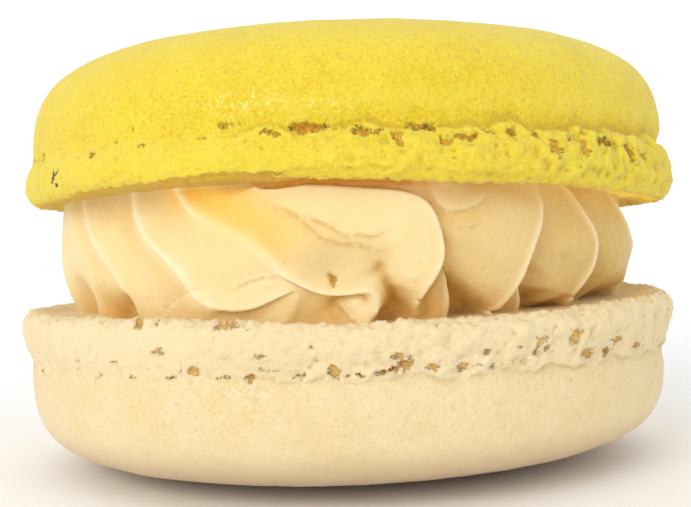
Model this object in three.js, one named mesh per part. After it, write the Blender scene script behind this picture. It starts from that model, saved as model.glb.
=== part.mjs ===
// A filled macaron: two almond meringue shells, each with a crackled foot, round a ring of piped
// buttercream. The lower shell lies on its dome, the upper one sits on the cream with its dome up.
// Millimetres, +Z up. The origin is the middle of the flat spot that the macaron rests on, and its
// front faces -Y.

import * as THREE from 'three';
import { mergeVertices } from 'three/addons/utils/BufferGeometryUtils.js';

// Driving dimensions
const UPPER_SHELL = {
  height: 11.85,         // flat base to the top of the dome
  domeRadius: 23.2,
  domeMiddle: 1.75,      // the dome is widest this far above the base
  domeFullness: 4.45,    // higher is more upright at the side
  footRadius: 23.85,     // how far the foot reaches out
  footHeight: 3.4,       // base to the seam under the dome
  restRadius: 0,
  footLean: -1.05,       // degrees: the foot is taller towards one side
  domeLean: 0.7,         // degrees: and so is the dome
  shoulder: -0.9,        // how far the dome bulges towards one side
  frontDip: 0,           // how much shorter the foot is at the front
  offset: 0.3,           // sideways, towards +X
  seed: 3,
};
const LOWER_SHELL = {
  height: 11.75,
  domeRadius: 23.3,
  domeMiddle: 1.45,
  domeFullness: 5.8,
  footRadius: 24,
  footHeight: 3.65,
  restRadius: 9,         // the flat spot it lies on
  footLean: 0.5,
  domeLean: 0,
  shoulder: 0.7,
  frontDip: 0.45,
  offset: 0,
  seed: 8,
};
const CREAM_GAP = 6.8;         // clear height between the two shells' bases
const CREAM_WAIST = 21.4;      // widest reach of a piped ridge
const CREAM_OFFSET = 0.25;
const CLEARANCE = 0.3;         // left between the cream and each shell

// Shell form
const DOME_FLATNESS = 3;       // 2 is an ellipse, higher is flatter across the top
const DOME_LIP = 0.35;         // the dome's edge is this far above the seam
const HOLLOW_BASE = 0.2;       // the base is this much higher inside its rim
const BASE_RIM_RADIUS = 21;
const REST_BLEND = 5;          // the dome's unevenness fades over this width round the flat spot
const SEAM_NOTCH = 0.5;        // how far the seam lies inside the dome
const SHELL_COLUMNS = 120;
const FOOT_ROWS = 6;
const DOME_ROWS = 9;

// Relief of the shells: bumps round the shell, the height of one and how far it stands in or out
const FOOT_CRAGS = { cells: 40, tall: 1.6, depth: 0.3 };
const FOOT_CRUMBS = { cells: 60, tall: 0.8, depth: 0.16 };
const DOME_WAVES = { cells: 7, tall: 9, depth: 0.18 };
const RAGGED_RIM = { cells: 60, tall: 1, depth: 0.22 };
const SEAM_PIT = 0.9;          // depth of a hole torn in the seam
const SEAM_PIT_SHARE = 0.4;    // share of the seam that is torn

// Piped cream: ridges run from under the upper shell down to the lower one
const RIDGES = 18;
const RIDGE_COLUMNS = 8;       // columns of faces from one ridge to the next
const CREAM_ROWS = 14;
const FURROW_PLACE = 0.3;      // the furrow lies this share of the way to the next ridge
const FURROW_DEPTH = { foot: 3.4, waist: 2.3, top: 1.3 };
const CURL = 3.5;              // degrees that a ridge's edge leans over the furrow beside it
const TUCK = { foot: 1.5, top: 1 };       // how far the ends of a ridge draw in from its waist
// Degrees round from the front where each front ridge passes four heights of the cream, given as
// shares. They go from the left side to the right, and the fifth is the broad end of the piping.
const KNOT_HEIGHTS = [0, 0.3, 0.7, 1];
const FRONT_RIDGES = [
  [-57, -54, -59, -63],
  [-41, -43, -51, -57],
  [-11, -26, -37, -40],
  [4, -8, -20, -29],
  [11, 13.5, 14, 4],
  [25, 29, 33, 34],
  [44, 47, 46.5, 41],
  [72, 71, 64, 60],
];
const BACK_LEAN = 10;          // degrees that a ridge at the back leans, on average

// A number from 0 to 1 that looks random and depends only on its three whole numbers.
function draw(i, j, seed) {
  const s = Math.sin(i * 127.1 + j * 311.7 + seed * 74.7) * 43758.5453;
  return s - Math.floor(s);
}

const { clamp, degToRad, lerp: mix, smoothstep } = THREE.MathUtils;
const ease = (t) => smoothstep(t, 0, 1);

// Smooth uneven relief on the side of a round piece. It closes on itself after one turn.
function bumps({ cells, tall, depth }, angle, height, seed) {
  const a = (angle / (2 * Math.PI)) * cells;
  const b = height / tall;
  const i = Math.floor(a);
  const j = Math.floor(b);
  const corner = (di, dj) => draw((i + di) % cells, j + dj, seed);
  const low = mix(corner(0, 0), corner(1, 0), ease(a - i));
  const high = mix(corner(0, 1), corner(1, 1), ease(a - i));
  return depth * (2 * mix(low, high, ease(b - j)) - 1);
}

// Turns a profile of (radius, height) points about Z, then moves each vertex where place() says.
// Angle 0 is the front, and it grows towards +X.
function turned(profile, columns, place) {
  const geometry = new THREE.LatheGeometry(profile, columns);
  const position = geometry.getAttribute('position');
  for (let column = 0; column <= columns; column += 1) {
    const angle = (2 * Math.PI * (column % columns)) / columns;
    profile.forEach((point, row) => {
      const { radius, height, turn } = place(point.x, point.y, angle, row, column % columns);
      const vertex = column * profile.length + row;
      position.setXYZ(vertex, radius * Math.sin(turn), -radius * Math.cos(turn), height);
    });
  }
  geometry.deleteAttribute('normal');
  geometry.deleteAttribute('uv');
  const closed = mergeVertices(geometry);
  closed.computeVertexNormals();
  return closed;
}

// ---- Shells -------------------------------------------------------------------------------------

// Half of a shell's section, from the axis under its base, round the foot and over the dome. The
// shell stands on its base at height 0.
function shellProfile(shell) {
  const { height, domeRadius, domeMiddle, domeFullness, footRadius, footHeight, restRadius } = shell;
  const base = [0, 0.6 * BASE_RIM_RADIUS, BASE_RIM_RADIUS, footRadius - 0.9].map((r) => [r, 0]);
  const foot = Array.from({ length: FOOT_ROWS }, (_, i) => {
    const t = (i + 0.5) / FOOT_ROWS;
    const belly = Math.sin(Math.PI * t ** 0.65);
    return [mix(domeRadius - 0.1, footRadius, belly), t * footHeight];
  });
  const seam = [[domeRadius - SEAM_NOTCH, footHeight]];
  const rise = height - domeMiddle;
  const lip = (footHeight + DOME_LIP - domeMiddle) / rise;
  const dome = Array.from({ length: DOME_ROWS }, (_, i) => {
    const t = mix(lip, 1, Math.sin((Math.PI / 2) * (i / DOME_ROWS)) ** 0.9);
    return [domeRadius * (1 - t ** domeFullness) ** (1 / DOME_FLATNESS), domeMiddle + t * rise];
  });
  const rest = restRadius > 0 ? [[restRadius, height]] : [];
  const outline = [...base, ...foot, ...seam, ...dome, ...rest, [0, height]];
  return outline.map(([r, z]) => new THREE.Vector2(r, z));
}

// Height of a shell's base over the level of its rim: hollow in the middle, and lopsided.
function baseHeight(shell, radius, angle) {
  const hollow = HOLLOW_BASE * (1 - smoothstep(radius, BASE_RIM_RADIUS, shell.footRadius));
  const lean = radius * Math.sin(angle) * Math.tan(degToRad(shell.footLean));
  const dip = shell.frontDip * (Math.max(0, Math.cos(angle)) * (radius / shell.footRadius)) ** 2;
  return hollow + lean + dip;
}

// How far the dome stands out at a share of its height, where it is uneven and fuller to one side.
function domeSwell(shell, share, angle, height) {
  const towards = Math.max(0, Math.sin(angle) * Math.sign(shell.shoulder));
  const bulge = Math.abs(shell.shoulder) * towards * share ** 3 * (1 - share ** 8);
  return bulge + bumps(DOME_WAVES, angle, height, shell.seed);
}

// How far the foot's crags stand out at a height, with the holes torn in the seam over it.
function footRelief(shell, angle, height, column) {
  const { footHeight, seed } = shell;
  const torn = draw(column, 1, seed) < SEAM_PIT_SHARE ? draw(column, 2, seed) : 0;
  if (height === footHeight) return -SEAM_PIT * torn;
  if (height > footHeight) return 0;
  return bumps(FOOT_CRAGS, angle, height, seed + 1) + bumps(FOOT_CRUMBS, angle, height, seed + 2);
}

function shellGeometry(shell) {
  const domeSlope = Math.tan(degToRad(shell.domeLean));
  return turned(shellProfile(shell), SHELL_COLUMNS, (radius, height, angle, row, column) => {
    if (radius === 0) return { radius, height: height || HOLLOW_BASE, turn: angle };
    const domeShare = clamp((height - shell.footHeight) / (shell.height - shell.footHeight), 0, 1);
    const baseShare = 1 - clamp(height / shell.footHeight, 0, 1);
    const outside = smoothstep(radius, BASE_RIM_RADIUS - 1, BASE_RIM_RADIUS + 1.5);
    const offRest = smoothstep(radius, shell.restRadius, shell.restRadius + REST_BLEND);

    const swell = offRest * domeSwell(shell, domeShare, angle, height);
    const crags = outside * footRelief(shell, angle, height, column);
    const lean = offRest * domeShare * domeSlope * radius * Math.sin(angle);
    const ragged = height === 0 ? outside * bumps(RAGGED_RIM, angle, 0, shell.seed + 3) : 0;
    return {
      radius: radius + swell + crags,
      height: height + lean + ragged + baseShare * baseHeight(shell, radius, angle),
      turn: angle,
    };
  });
}

// ---- Piped cream --------------------------------------------------------------------------------

// The angles of every ridge at the knot heights. Behind the front ones the rest are spread evenly,
// each a little off its place as hand piping leaves it.
function ridgeAngles() {
  const first = FRONT_RIDGES[0][0];
  const last = FRONT_RIDGES[FRONT_RIDGES.length - 1][0];
  const behind = RIDGES - FRONT_RIDGES.length;
  const step = (360 - last + first) / (behind + 1);
  const back = Array.from({ length: behind }, (_, i) => {
    const foot = last + step * (i + 1) + 3 * (draw(i, 0, 21) - 0.5);
    const lean = BACK_LEAN * (0.6 + 0.8 * draw(i, 1, 21));
    return KNOT_HEIGHTS.map((share) => foot - lean * share ** 1.5);
  });
  return [...FRONT_RIDGES, ...back];
}

// The path of a ridge's edge: x is the share of the height and y the angle.
function ridgePath(angles) {
  return new THREE.SplineCurve(KNOT_HEIGHTS.map((share, i) => new THREE.Vector2(share, angles[i])));
}

// How far a ridge's edge reaches out at a share of the height.
function edgeRadius(share) {
  const below = Math.max(0, 0.6 - share) / 0.6;
  const above = Math.max(0, share - 0.6) / 0.4;
  return CREAM_WAIST - TUCK.foot * below ** 2.2 - TUCK.top * above ** 2;
}

// 1 on a ridge's edge and 0 in the furrow, at a share of the way to the next edge. The side next
// to the edge is steep, and the far one swells gently up to the next edge.
function ridgeForm(across, slimness) {
  if (across < FURROW_PLACE) return (1 - across / FURROW_PLACE) ** (slimness + 0.4);
  const climb = (across - FURROW_PLACE) / (1 - FURROW_PLACE);
  return Math.sin((Math.PI / 2) * climb) ** (1.6 * slimness);
}

function furrowDepth(share) {
  const { foot, waist, top } = FURROW_DEPTH;
  return share < 0.5 ? mix(foot, waist, ease(share * 2)) : mix(waist, top, ease(share * 2 - 1));
}

// Height of the cream's underside (share 0) and top (share 1), just clear of the shells.
function creamHeight(share, radius, turn) {
  const floor = LOWER_SHELL.height - baseHeight(LOWER_SHELL, radius, -turn) + CLEARANCE;
  const ceiling = LOWER_SHELL.height + CREAM_GAP + baseHeight(UPPER_SHELL, radius, turn) - CLEARANCE;
  return mix(floor, ceiling, share);
}

function creamGeometry() {
  const paths = ridgeAngles().map(ridgePath);
  const levels = Array.from({ length: CREAM_ROWS }, (_, i) => i / (CREAM_ROWS - 1));
  const profile = [
    new THREE.Vector2(0, 0),
    ...levels.map((level) => new THREE.Vector2(CREAM_WAIST, level)),
    new THREE.Vector2(0, 1),
  ];
  return turned(profile, RIDGES * RIDGE_COLUMNS, (radius, level, angle, row, column) => {
    if (radius === 0) return { radius, height: creamHeight(level, 0, 0), turn: angle };
    const ridge = Math.floor(column / RIDGE_COLUMNS);
    const across = (column % RIDGE_COLUMNS) / RIDGE_COLUMNS;
    const edge = paths[ridge].getPoint(level);
    const nextEdge = paths[(ridge + 1) % RIDGES].getPoint(level);
    const wholeTurn = ridge === RIDGES - 1 ? 360 : 0;
    const share = edge.x;

    const form = ridgeForm(across, mix(1.5, 0.8, share));
    const curl = CURL * form * Math.sin(Math.PI * share);
    const turn = degToRad(mix(edge.y, nextEdge.y + wholeTurn, across) + curl);
    const reach = edgeRadius(share) - furrowDepth(share) * (1 - form);
    return { radius: reach, height: creamHeight(share, reach, turn), turn };
  });
}

// ---- Assembly -----------------------------------------------------------------------------------

function piece(name, geometry, colour, roughness) {
  const material = new THREE.MeshStandardMaterial({ color: colour, roughness, metalness: 0 });
  const mesh = new THREE.Mesh(geometry, material);
  mesh.name = name;
  return mesh;
}

const lowerShell = piece('bottom_shell', shellGeometry(LOWER_SHELL), 0xf5dfae, 0.85);
lowerShell.rotation.y = Math.PI;
lowerShell.position.set(LOWER_SHELL.offset, 0, LOWER_SHELL.height);

const cream = piece('filling', creamGeometry(), 0xfbe2a4, 0.5);
cream.position.x = CREAM_OFFSET;

const upperShell = piece('top_shell', shellGeometry(UPPER_SHELL), 0xf7dc3a, 0.8);
upperShell.position.set(UPPER_SHELL.offset, 0, LOWER_SHELL.height + CREAM_GAP);

const macaron = new THREE.Group();
macaron.add(lowerShell, cream, upperShell);

export default macaron;
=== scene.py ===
"""A filled macaron: two almond meringue shells with crackled feet round a ring of piped buttercream.

Laid out as a Blender add-on and run as a script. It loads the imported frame, models the three pieces
in the frame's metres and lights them.
"""

from math import pi, radians, sin, tan
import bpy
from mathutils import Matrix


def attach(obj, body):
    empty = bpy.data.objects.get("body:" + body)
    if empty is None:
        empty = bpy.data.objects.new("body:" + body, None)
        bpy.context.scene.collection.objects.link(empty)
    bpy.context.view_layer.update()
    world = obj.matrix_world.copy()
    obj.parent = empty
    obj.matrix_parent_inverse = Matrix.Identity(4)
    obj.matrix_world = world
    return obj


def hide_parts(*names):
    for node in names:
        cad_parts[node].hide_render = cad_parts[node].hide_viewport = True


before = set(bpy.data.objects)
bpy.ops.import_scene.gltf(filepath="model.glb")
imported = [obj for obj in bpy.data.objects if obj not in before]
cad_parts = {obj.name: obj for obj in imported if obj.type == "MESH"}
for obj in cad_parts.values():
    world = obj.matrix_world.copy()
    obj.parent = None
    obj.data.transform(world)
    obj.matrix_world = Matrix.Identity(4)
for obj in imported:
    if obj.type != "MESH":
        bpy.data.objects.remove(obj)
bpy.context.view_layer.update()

from types import SimpleNamespace

import bmesh
import bpy
import numpy as np
from bpy.props import FloatProperty, FloatVectorProperty, PointerProperty
from mathutils import Matrix, Vector

bl_info = {
    "name": "Filled macaron",
    "version": (1, 0, 0),
    "blender": (4, 5, 0),
    "location": "3D View > Sidebar > Macaron",
    "description": "Models a filled macaron with crackled feet and piped buttercream",
    "category": "Add Mesh",
}

MM = 0.001
ROUNDS = 2  # of subdivision, each of which halves the width of the faces
SHELL_COLUMNS = 240  # before subdivision
CREAM_COLUMNS = 960  # after it
CREAM_ROWS = 88  # after it


def length(name, text, millimetres):
    """A size that the user may change, shown in the scene's units."""
    size = millimetres * MM
    return FloatProperty(name=name, description=text, default=size, unit="LENGTH", precision=5)


def angle(name, text, degrees):
    return FloatProperty(name=name, description=text, default=radians(degrees), subtype="ANGLE")


def linear(code):
    """Linear colour of an sRGB hex value."""
    parts = [int(code[i : i + 2], 16) / 255 for i in (1, 3, 5)]
    return tuple(c / 12.92 if c <= 0.04045 else ((c + 0.055) / 1.055) ** 2.4 for c in parts)


def colour(name, text, code):
    tone = linear(code)
    return FloatVectorProperty(name=name, description=text, default=tone, subtype="COLOR", min=0, max=1)


# ---- Sizes and colours ---------------------------------------------------------------------------


class UpperShellSizes(bpy.types.PropertyGroup):
    """The yellow shell, dome up."""

    height: length("Height", "Flat base to the top of the dome", 11.85)
    dome_radius: length("Dome radius", "Half the width of the dome", 23.3)
    dome_middle: length("Dome middle", "Height above the base where the dome is widest", 1.75)
    foot_radius: length("Foot radius", "How far the crackled foot reaches out", 23.85)
    foot_height: length("Foot height", "Base to the seam under the dome", 3.4)
    rest_radius: length("Flat spot", "Radius of the flat spot on the dome", 0)
    foot_lean: angle("Foot lean", "The foot is taller towards one side", -1.05)
    dome_lean: angle("Dome lean", "The dome is taller towards one side", 0.7)
    skin: colour("Skin", "Colour of the baked yellow skin", "#E5C729")
    inside: colour("Crumb", "Colour inside the pores and under the foot", "#C8921F")
    deep: colour("Deep crumb", "Colour deep in the pores", "#A8721A")
    # The pore rim colour is painted shade under the overhanging edge of a pore
    dark: colour("Pore rim", "Colour of the thin dark rim of a pore", "#A07E22")


class LowerShellSizes(bpy.types.PropertyGroup):
    """The plain shell, which lies on its dome."""

    height: length("Height", "Flat base to the top of the dome", 11.75)
    dome_radius: length("Dome radius", "Half the width of the dome", 23.4)
    dome_middle: length("Dome middle", "Height above the base where the dome is widest", 1.45)
    foot_radius: length("Foot radius", "How far the crackled foot reaches out", 24.0)
    foot_height: length("Foot height", "Base to the seam under the dome", 3.65)
    rest_radius: length("Flat spot", "Radius of the flat spot that it lies on", 9)
    foot_lean: angle("Foot lean", "The foot is taller towards one side", 0.5)
    dome_lean: angle("Dome lean", "The dome is taller towards one side", 0)
    skin: colour("Skin", "Colour of the baked plain skin", "#E7CF9A")
    inside: colour("Crumb", "Colour inside the pores and on the base", "#DDB25E")
    deep: colour("Deep crumb", "Colour deep in the pores", "#A4722E")
    # The pore rim colour is painted shade under the overhanging edge of a pore
    dark: colour("Pore rim", "Colour of the thin dark rim of a pore", "#A48348")


class CreamSizes(bpy.types.PropertyGroup):
    """The ring of piped buttercream."""

    gap: length("Gap", "Clear height between the shells' bases", 6.8)
    embedded: length("Embedded", "How far the cream reaches into each shell", 0.3)
    offset: length("Offset", "How far the ring is off the axis", 0.25)
    cream: colour("Cream", "Colour of the buttercream", "#F5DEA8")
    shade: colour("Shade", "Colour deep between the ridges", "#A87232")


# ---- Modelling tools -----------------------------------------------------------------------------

LEAST_WEIGHT = 0.002  # vertices with a smaller share of a displacement aren't painted


def select_only(piece):
    """Leaves one piece selected and active, in object mode."""
    if bpy.context.object and bpy.context.object.mode != "OBJECT":
        bpy.ops.object.mode_set(mode="OBJECT")
    bpy.ops.object.select_all(action="DESELECT")
    piece.select_set(True)
    bpy.context.view_layer.objects.active = piece


def turn_rings(name, columns, rings):
    """A piece turned round the axis, left in edit mode with open ends. A ring is (radius, height,
    tilt about Y). The first one stays level, and each other is extruded from the one before it,
    resized and tilted."""
    last_radius, last_height, _ = rings[0]
    last_tilt = 0
    bpy.ops.object.select_all(action="DESELECT")
    bpy.ops.mesh.primitive_circle_add(
        vertices=columns, radius=last_radius, fill_type="NOTHING", location=(0, 0, last_height)
    )
    piece = bpy.context.object
    piece.name = name
    bpy.ops.object.transform_apply(location=True, rotation=True, scale=True)
    bpy.ops.object.mode_set(mode="EDIT")
    bpy.ops.mesh.select_all(action="SELECT")
    for radius, height, tilt in rings[1:]:
        step = (0, 0, height - last_height)
        bpy.ops.mesh.extrude_region_move(TRANSFORM_OT_translate={"value": step})
        centre = (0, 0, height)
        ratio = radius / last_radius
        bpy.ops.transform.resize(value=(ratio, ratio, ratio), center_override=centre)
        if tilt != last_tilt:
            turn = tilt - last_tilt
            bpy.ops.transform.rotate(value=turn, orient_axis="Y", center_override=centre)
        last_radius, last_height, last_tilt = radius, height, tilt
    return piece


def close_ends():
    """Fills the open rings of the piece in edit mode and points its faces outwards."""
    bpy.ops.mesh.select_all(action="DESELECT")
    bpy.ops.mesh.select_mode(type="EDGE")
    bpy.ops.mesh.select_non_manifold()
    bpy.ops.mesh.fill_holes(sides=0)
    bpy.ops.mesh.select_all(action="SELECT")
    bpy.ops.mesh.normals_make_consistent(inside=False)
    bpy.ops.object.mode_set(mode="OBJECT")


def apply_modifier(piece, name, kind, **settings):
    """Gives a piece a modifier with its settings and applies it."""
    modifier = piece.modifiers.new(name, kind)
    for setting, value in settings.items():
        setattr(modifier, setting, value)
    bpy.ops.object.modifier_apply(modifier=modifier.name)


def points_of(piece):
    """The piece's vertices in millimetres."""
    flat = np.empty(len(piece.data.vertices) * 3, np.float32)
    piece.data.vertices.foreach_get("co", flat)
    return flat.reshape(-1, 3).astype(float) / MM


def displace(piece, name, strength, weights=None, **settings):
    """Moves vertices by a strength in millimetres, times a weight from 0 to 1 for each vertex. The
    rest are the Displace modifier's settings."""
    if weights is not None:
        group = piece.vertex_groups.new(name=name)
        for i in np.flatnonzero(weights > LEAST_WEIGHT):
            group.add([int(i)], float(weights[i]), "REPLACE")
        settings["vertex_group"] = name
    apply_modifier(piece, name, "DISPLACE", strength=strength * MM, **settings)
    piece.vertex_groups.clear()


def press(piece, name, depth, direction="NORMAL"):
    """Pushes each vertex in by its depth in millimetres, or out where it is negative. The painted
    displacement only pushes in, so an even one takes back what is too much of it."""
    if float(np.abs(depth).max()) < 1e-6:
        return
    low = float(min(depth.min(), 0.0))
    span = float(depth.max()) - low
    displace(piece, name, -span, (depth - low) / span, direction=direction, mid_level=0)
    if low < 0:
        displace(piece, name, -low, direction=direction, mid_level=0)


def roughen(piece, name, weights, kind, size, depth, direction="NORMAL"):
    """Raises and lowers a painted region by a procedural texture whose grain has a size in mm."""
    texture = bpy.data.textures.new(name, kind)
    texture.noise_scale = size * MM
    if kind == "CLOUDS":
        texture.noise_depth = 2
        texture.noise_basis = "ORIGINAL_PERLIN"
    pattern = {"texture": texture, "texture_coords": "LOCAL", "mid_level": 0.5}
    displace(piece, name, depth, weights, direction=direction, **pattern)


def keep_values(piece, values):
    """Keeps numbers for each vertex under their names, which the piece's material reads."""
    for name, numbers in values.items():
        attribute = piece.data.attributes.new(name, "FLOAT", "POINT")
        attribute.data.foreach_set("value", np.asarray(numbers, np.float32))


def hollows(piece, rounds):
    """How far each vertex lies below its surroundings in mm (above them where negative). More rounds
    look further around."""
    points = points_of(piece)
    edges = np.empty(len(piece.data.edges) * 2, np.int32)
    piece.data.edges.foreach_get("vertices", edges)
    ends, others = edges.reshape(-1, 2).T
    to, by = np.concatenate((ends, others)), np.concatenate((others, ends))
    count = np.bincount(to, minlength=len(points))
    around = points.copy()
    for _ in range(rounds):
        sums = [np.bincount(to, around[by, k], len(points)) / count for k in range(3)]
        around = np.column_stack(sums)
    normals = np.empty(len(points) * 3, np.float32)
    piece.data.vertices.foreach_get("normal", normals)
    return ((around - points) * normals.reshape(-1, 3)).sum(axis=1)


def rise(x, low, high):
    """0 below low, 1 above high and a smooth step between them. High may be the lower one."""
    t = np.clip((x - low) / (high - low), 0, 1)
    return t * t * (3 - 2 * t)


def bell(x, width):
    """1 where x is 0, falling away on both sides like a bell with a width."""
    return np.exp(-((x / width) ** 2))


def look_up(degrees, table):
    """The value at each angle, from a table with rows of (degrees from the front, value)."""
    return np.interp(degrees, *np.transpose(table))


def draws(seed, count, spans):
    """Seeded rows of random numbers, one column for each (low, high)."""
    generator = np.random.default_rng(seed)
    low, high = np.transpose(spans)
    return low + (high - low) * generator.random((count, len(spans)))


def wander(turn, seed, waves):
    """An uneven line round the shell: the sum of sine waves, each (how many, how high)."""
    phases = np.random.default_rng(seed).random(len(waves)) * 2 * pi
    return sum(h * np.sin(n * turn + p) for (n, h), p in zip(waves, phases))


def finish_piece(piece, material, node):
    """Smooths the faces, gives the material and ties the piece to the frame."""
    select_only(piece)
    bpy.ops.object.shade_smooth()
    piece.data.materials.clear()
    piece.data.materials.append(material)
    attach(piece, "root")
    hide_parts(node)


# ---- Material nodes ------------------------------------------------------------------------------


def put(tree, socket, value):
    """Links another node's output to an input, or sets the input's value."""
    if isinstance(value, bpy.types.NodeSocket):
        tree.links.new(value, socket)
    else:
        socket.default_value = value


def add(tree, kind, output, inputs=None, **settings):
    """Adds a node with its settings and links, and gives one of its outputs."""
    node = tree.nodes.new(kind)
    for name, value in settings.items():
        setattr(node, name, value)
    for name, value in (inputs or {}).items():
        put(tree, node.inputs[name], value)
    return node.outputs[output]


def start_material(name):
    """A new material, its nodes, its shader and the piece's own coordinates in metres."""
    material = bpy.data.materials.new(name)
    material.use_nodes = True
    tree = material.node_tree
    return material, tree, tree.nodes["Principled BSDF"], add(tree, "ShaderNodeTexCoord", "Object")


def amount(tree, source, top=1.0, low=None, high=None):
    """How much of something each point has. The source is a number that the mesh keeps, by its name,
    or noise, by its coordinates, its scale (one metre through its grain) and its detail, or an
    output. It is taken times top, or climbs smoothly from 0 at low to top at high, which may be the
    lower one."""
    if isinstance(source, str):
        source = add(tree, "ShaderNodeAttribute", "Fac", attribute_name=source)
    elif isinstance(source, tuple):
        noise = dict(zip(("Vector", "Scale", "Detail"), source))
        source = add(tree, "ShaderNodeTexNoise", "Fac", noise)
    if low is None:
        return add(tree, "ShaderNodeMath", "Value", {0: source, 1: top}, operation="MULTIPLY")
    ends = (low, high, 0.0, top) if low < high else (high, low, top, 0.0)
    inputs = dict(zip(("Value", "From Min", "From Max", "To Min", "To Max"), (source, *ends)))
    return add(tree, "ShaderNodeMapRange", "Result", inputs, interpolation_type="SMOOTHSTEP")


def broken(tree, source, crumb, unevenness):
    """A source whose outline is broken up by the crumb."""
    terms = {0: amount(tree, source), 1: amount(tree, crumb, unevenness, 0.3, 0.7)}
    return add(tree, "ShaderNodeMath", "Value", terms, operation="ADD")


def lay(tree, under, layers):
    """Lays colours over one another, from the lowest up. Each layer is (colour, source, and the
    rest of what its amount needs). A colour is a hex value, a setting or an output."""

    def tone(value):
        value = linear(value) if isinstance(value, str) else value
        return value if isinstance(value, bpy.types.NodeSocket) else (*value, 1)

    for over, *source in layers:
        inputs = {0: amount(tree, *source), 6: tone(under), 7: tone(over)}
        under = add(tree, "ShaderNodeMix", 2, inputs, data_type="RGBA")
    return under


def finish_shader(tree, shader, reliefs, values):
    """Stacks the fine relief, each (strength, distance in metres, height), and fills in the shader's
    inputs."""
    normal = {}
    for strength, distance, height in reliefs:
        inputs = {"Strength": strength, "Distance": distance, "Height": height, **normal}
        normal = {"Normal": add(tree, "ShaderNodeBump", "Normal", inputs)}
    for name, value in {**normal, **values}.items():
        put(tree, shader.inputs[name], value)


# ---- Meringue shells -----------------------------------------------------------------------------

# Cracks and pores: angle round the shell in degrees from the front, height above the ground,
# width and height of the opening, and its depth, in millimetres
UPPER_PORES = (
    (-33.1, 22.57, 0.63, 0.2, 0.3), (-41.0, 21.44, 0.56, 0.36, 0.25), (-36.0, 22.0, 0.5, 0.14, 0.12),
    (-30.6, 21.64, 0.81, 0.3, 0.22), (-20.6, 21.7, 0.36, 0.22, 0.25), (-24.5, 21.9, 0.3, 0.2, 0.2),
    (-17.3, 22.35, 0.47, 0.36, 0.5), (-15.2, 22.45, 0.9, 0.14, 0.35), (-13.9, 21.32, 0.26, 0.22, 0.4),
    (-10.7, 21.85, 0.95, 0.4, 0.5), (-5.4, 22.0, 2.1, 0.5, 0.7), (-1.1, 21.95, 0.9, 0.2, 0.4),
    (2.7, 21.72, 1.5, 0.42, 0.65), (7.0, 21.3, 0.5, 1.0, 0.4), (7.3, 22.2, 0.3, 0.2, 0.25),
    (10.4, 21.9, 1.5, 0.42, 0.8), (13.3, 21.1, 0.8, 0.5, 0.4), (16.3, 21.3, 1.4, 0.45, 0.6),
    (19.8, 21.6, 0.9, 0.25, 0.35), (23.3, 21.65, 0.5, 0.4, 0.5), (27.5, 21.6, 0.5, 0.28, 0.6),
    (30.6, 20.7, 0.7, 1.3, 0.42), (33.5, 21.3, 0.5, 0.4, 0.4), (36.4, 20.9, 0.7, 1.2, 0.35),
    (41.3, 21.3, 1.7, 0.6, 1.3), (47.1, 20.8, 1.1, 0.9, 1.2), (52.5, 20.7, 0.9, 0.5, 0.35),
    (58.0, 20.4, 0.8, 0.6, 0.35),
)
LOWER_PORES = (
    (-44.5, 8.97, 0.5, 0.2, 0.2), (-40.2, 8.04, 0.63, 0.2, 0.3), (-35.8, 9.07, 0.58, 0.24, 0.3),
    (-32.9, 8.12, 0.42, 0.2, 0.3), (-27.1, 9.86, 0.9, 0.4, 0.25), (-26.5, 10.1, 0.4, 0.2, 0.35),
    (-25.9, 8.16, 0.7, 0.3, 0.4), (-22.0, 8.65, 0.6, 0.8, 0.4), (-17.4, 8.28, 0.9, 0.2, 0.4),
    (-13.7, 8.2, 0.4, 0.45, 0.7), (-11.5, 9.71, 0.56, 0.44, 0.3), (-10.6, 8.7, 1.2, 0.25, 0.2),
    (-6.6, 8.35, 0.7, 0.35, 0.4), (-4.8, 10.3, 0.33, 0.27, 0.35), (-1.9, 8.55, 0.5, 0.8, 0.4),
    (-0.2, 8.3, 0.3, 0.25, 0.5), (1.6, 8.3, 0.5, 0.3, 0.8), (4.2, 8.42, 0.6, 0.33, 0.9),
    (6.0, 8.5, 0.5, 0.34, 0.9), (7.5, 8.76, 0.75, 0.5, 0.9), (8.2, 9.25, 0.3, 0.6, 0.5),
    (6.9, 9.41, 0.6, 0.7, 0.35), (11.3, 8.62, 0.6, 0.7, 0.5), (13.3, 8.88, 0.75, 0.16, 0.4),
    (15.5, 8.5, 0.5, 0.5, 0.4), (18.2, 8.57, 0.3, 0.22, 0.4), (19.1, 9.34, 0.36, 0.5, 0.4),
    (20.0, 8.38, 0.4, 0.24, 0.5), (24.0, 9.6, 0.56, 0.28, 0.35), (24.4, 8.5, 0.36, 0.25, 0.45),
    (26.9, 9.07, 0.36, 0.34, 0.5), (27.3, 9.8, 0.84, 0.8, 0.3), (28.7, 9.3, 0.4, 0.34, 0.55),
    (33.6, 9.97, 1.0, 1.1, 0.35), (37.3, 8.78, 0.7, 0.7, 0.6), (41.5, 8.6, 0.64, 0.5, 0.6),
    (43.8, 9.37, 0.7, 0.5, 0.4), (42.2, 9.5, 0.4, 0.4, 0.4), (50.9, 8.7, 0.8, 0.38, 0.5),
    (-30.5, 11.5, 0.8, 0.55, 0.5), (-27.6, 11.5, 0.35, 0.25, 0.4), (-16.5, 11.5, 1.3, 0.4, 0.5),
)

# How far each base is cut back at the front: degrees from the front and millimetres
UPPER_CUT = (
    (-60, 0), (-45, 0.1), (-31, 0.21), (-18, 0.22), (-11, 0.3), (-6.5, 0.6), (-1, 0.53), (7, 0.43),
    (16, 0.29), (27, 0.32), (40, 0.2), (55, 0),
)
LOWER_CUT = (
    (-80, 0), (-52, -0.15), (-30, -0.35), (-16, -0.25), (-7, -0.05), (2, 0.15), (7, 0), (15, 0.12),
    (33, 0.1), (44, 0), (55, 0.08), (72, 0.3), (90, 0.1), (105, 0),
)

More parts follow.
